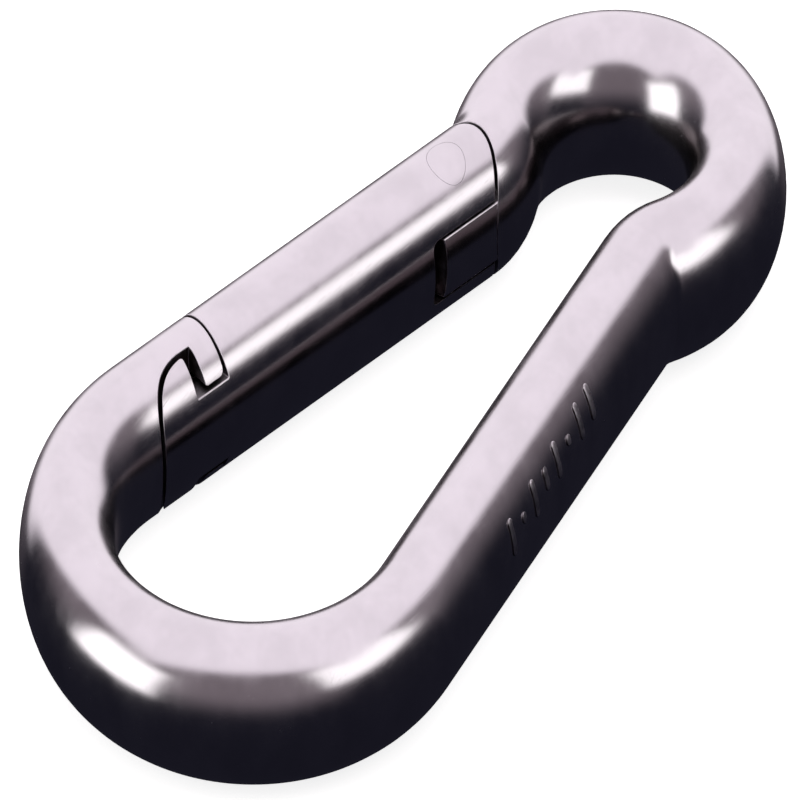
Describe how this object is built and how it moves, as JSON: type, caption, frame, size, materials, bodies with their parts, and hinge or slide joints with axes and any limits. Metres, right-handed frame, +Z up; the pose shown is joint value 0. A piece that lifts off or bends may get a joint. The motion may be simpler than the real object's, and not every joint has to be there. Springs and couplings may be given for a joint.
{
  "type": "eye hook with latch",
  "caption": "Pear-shaped snap hook bent from polished stainless round bar, with a small eye, a wide bow and a sprung gate whose T-shaped head locks into the nose.",
  "frame": {"origin": "under the middle of the hook's box, on the surface that it lies on", "axes": "+X from the bow to the eye, +Y across the hook towards the gate, +Z up out of the hook's plane"},
  "size_m": [0.1, 0.0474, 0.01],
  "materials": {
    "bar_steel": "mirror-polished stainless steel",
    "gate_steel": "polished stainless steel",
    "pin_steel": "turned stainless steel",
    "spring_steel": "drawn stainless spring wire"
  },
  "bodies": {
    "hook": {"hook_body": "bar_steel"},
    "gate_arm": {"gate": "gate_steel", "hinge_pin": "pin_steel", "gate_spring": "spring_steel"},
    "plunger": {"spring_plunger": "pin_steel"}
  },
  "joints": [
    {"name": "gate_hinge", "type": "hinge", "parent": "hook", "child": "gate_arm", "pos_m": [0.0179, 0.01028, 0.005], "axis": [0, 0, 1], "range_deg": [0, 30], "stiffness_Nm_per_rad": 0.05, "springref_deg": -22.92},
    {"name": "plunger_slide", "type": "slide", "parent": "gate_arm", "child": "plunger", "axis": [-0.9852, 0.1713, 0], "range_m": [0, 0.0008], "deforming": ["gate_spring"]}
  ],
  "couplings": [
    {"joint": "plunger_slide", "follows": "gate_hinge", "m_per_rad": 0.0015}
  ]
}
